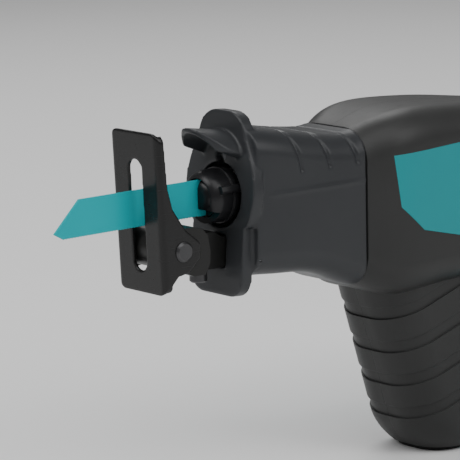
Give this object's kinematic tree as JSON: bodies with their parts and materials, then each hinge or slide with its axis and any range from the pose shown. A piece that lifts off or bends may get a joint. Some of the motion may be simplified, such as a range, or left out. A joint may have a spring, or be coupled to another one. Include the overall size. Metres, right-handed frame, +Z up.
{
  "type": "cordless reciprocating saw",
  "caption": "Cordless reciprocating saw with an upright motor column in front, a closed rear handle, a slide-on battery pack, a quick-release blade clamp and a tilting shoe.",
  "frame": {"origin": "where the motor axis meets the surface that the saw stands on, at the foot of the front column", "axes": "+Z up; +X rearwards, towards the handle; -X along the blade, towards its tip; +Y to the saw's right"},
  "size_m": [0.4131, 0.076, 0.2039],
  "materials": {
    "blade_paint": "satin",
    "dark_steel": "gloss black phosphate",
    "clamp_metal": "satin",
    "spring_steel": "drawn wire",
    "ground_steel": "ground",
    "pin_steel": "blackened",
    "bush_bronze": "sintered",
    "seal_rubber": "matte",
    "cast_magnesium": "as cast",
    "laminations": "laminated",
    "magnet_grey": "plated",
    "copper_winding": "enamelled",
    "fan_plastic": "moulded",
    "board_green": "lacquered board",
    "boot_rubber": "soft satin",
    "lamp_clear": "clear",
    "housing_teal": "moulded satin",
    "grip_rubber": "matte elastomer",
    "black_plastic": "fine texture",
    "cell_wrap": "sleeved",
    "contact_brass": "plated",
    "screw_zinc": "zinc",
    "gauge_clear": "smoked"
  },
  "bodies": {
    "housing": {"gear_housing": "cast_magnesium", "gear_housing_cover": "cast_magnesium", "gear_housing_screws": "screw_zinc", "front_bush": "bush_bronze", "rear_bush": "bush_bronze", "dust_seal": "seal_rubber", "crank_bearing": "ground_steel", "motor_bearing_top": "ground_steel", "motor_bearing_bottom": "ground_steel", "stator_core": "laminations", "stator_coils": "copper_winding", "controller": "board_green", "boot": "boot_rubber", "lamp_lens": "lamp_clear", "stand_foot": "seal_rubber", "housing_screws": "screw_zinc", "switch_body": "black_plastic", "trigger_spring": "spring_steel", "shoe_lock_spring": "spring_steel", "battery_terminal": "fan_plastic", "housing_left": "housing_teal", "housing_right": "housing_teal", "soft_cover_left": "grip_rubber", "soft_cover_right": "grip_rubber", "grip_cover_left": "grip_rubber", "grip_cover_right": "grip_rubber"},
    "slider": {"slider_rod": "ground_steel", "yoke": "ground_steel", "yoke_pin": "pin_steel", "blade_clamp_body": "clamp_metal", "blade": "blade_paint", "clamp_retaining_ring": "pin_steel", "clamp_spring": "spring_steel"},
    "sleeve": {"clamp_sleeve": "clamp_metal"},
    "lock_pin": {"clamp_lock_pin": "ground_steel"},
    "crank": {"crank_gear": "ground_steel", "crank_pin": "pin_steel"},
    "roller": {"crank_roller": "ground_steel"},
    "motor": {"motor_shaft": "ground_steel", "motor_pinion": "ground_steel", "rotor_core": "laminations", "rotor_magnets": "magnet_grey", "motor_fan": "fan_plastic"},
    "bracket": {"shoe_bracket": "dark_steel", "stop_bolt": "pin_steel"},
    "shoe": {"shoe_plate": "dark_steel", "shoe_pin": "pin_steel", "shoe_washers": "pin_steel"},
    "shoe_lock": {"shoe_lock_button": "black_plastic"},
    "trigger": {"trigger": "black_plastic"},
    "lock_off": {"lock_off_button": "black_plastic"},
    "battery": {"battery_case_bottom": "black_plastic", "battery_case_top": "black_plastic", "battery_cells": "cell_wrap", "battery_board": "board_green", "battery_contacts": "contact_brass", "gauge_window": "gauge_clear", "battery_latch_spring": "spring_steel"},
    "battery_latch": {"battery_latch": "black_plastic"},
    "gauge": {"gauge_button": "black_plastic"}
  },
  "joints": [
    {"name": "crank_turn", "type": "hinge", "parent": "housing", "child": "crank", "pos_m": [-0.03125, 0, 0.134], "axis": [0, 0, 1], "range_deg": [0, 180]},
    {"name": "slider_stroke", "type": "slide", "parent": "housing", "child": "slider", "axis": [1, 0, 0], "range_m": [0, 0.0201]},
    {"name": "roller_turn", "type": "hinge", "parent": "crank", "child": "roller", "pos_m": [-0.04125, 0, 0.148], "axis": [0, 0, 1], "continuous": true},
    {"name": "motor_spin", "type": "hinge", "parent": "housing", "child": "motor", "pos_m": [0, 0, 0.1], "axis": [0, 0, 1], "continuous": true},
    {"name": "clamp_turn", "type": "hinge", "parent": "slider", "child": "sleeve", "pos_m": [-0.14925, 0, 0.16], "axis": [1, 0, 0], "range_deg": [0, 90], "stiffness_Nm_per_rad": 0.03, "springref_deg": -17.19, "deforming": ["clamp_spring"]},
    {"name": "lock_pin_slide", "type": "slide", "parent": "slider", "child": "lock_pin", "axis": [0, -1, 0], "range_m": [0, 0.00241]},
    {"name": "shoe_extend", "type": "slide", "parent": "housing", "child": "bracket", "axis": [-1, 0, 0], "range_m": [0, 0.03]},
    {"name": "shoe_tilt", "type": "hinge", "parent": "bracket", "child": "shoe", "pos_m": [-0.18125, 0, 0.1381], "axis": [0, 1, 0], "range_deg": [-20, 15]},
    {"name": "shoe_lock_press", "type": "slide", "parent": "housing", "child": "shoe_lock", "axis": [0, -1, 0], "range_m": [0, 0.0025], "stiffness_N_per_m": 800, "deforming": ["shoe_lock_spring"]},
    {"name": "trigger_pull", "type": "slide", "parent": "housing", "child": "trigger", "axis": [1, 0, 0], "range_m": [0, 0.007], "stiffness_N_per_m": 600, "springref_m": -0.002, "deforming": ["trigger_spring"]},
    {"name": "lock_off_slide", "type": "slide", "parent": "housing", "child": "lock_off", "axis": [0, 1, 0], "range_m": [-0.002, 0.002]},
    {"name": "battery_slide", "type": "slide", "parent": "housing", "child": "battery", "axis": [1, 0, 0], "range_m": [0, 0.12]},
    {"name": "latch_press", "type": "slide", "parent": "battery", "child": "battery_latch", "axis": [0, 0, -1], "range_m": [0, 0.003], "stiffness_N_per_m": 1200, "springref_m": -0.001, "deforming": ["battery_latch_spring"]},
    {"name": "gauge_press", "type": "slide", "parent": "battery", "child": "gauge", "axis": [-1, 0, 0], "range_m": [0, 0.0008], "stiffness_N_per_m": 1500}
  ],
  "couplings": [
    {"joint": "slider_stroke", "follows": "crank_turn", "m_per_rad": 0.0063662},
    {"joint": "motor_spin", "follows": "crank_turn", "ratio": -4},
    {"joint": "lock_pin_slide", "follows": "clamp_turn", "m_per_rad": 0.0015279}
  ]
}
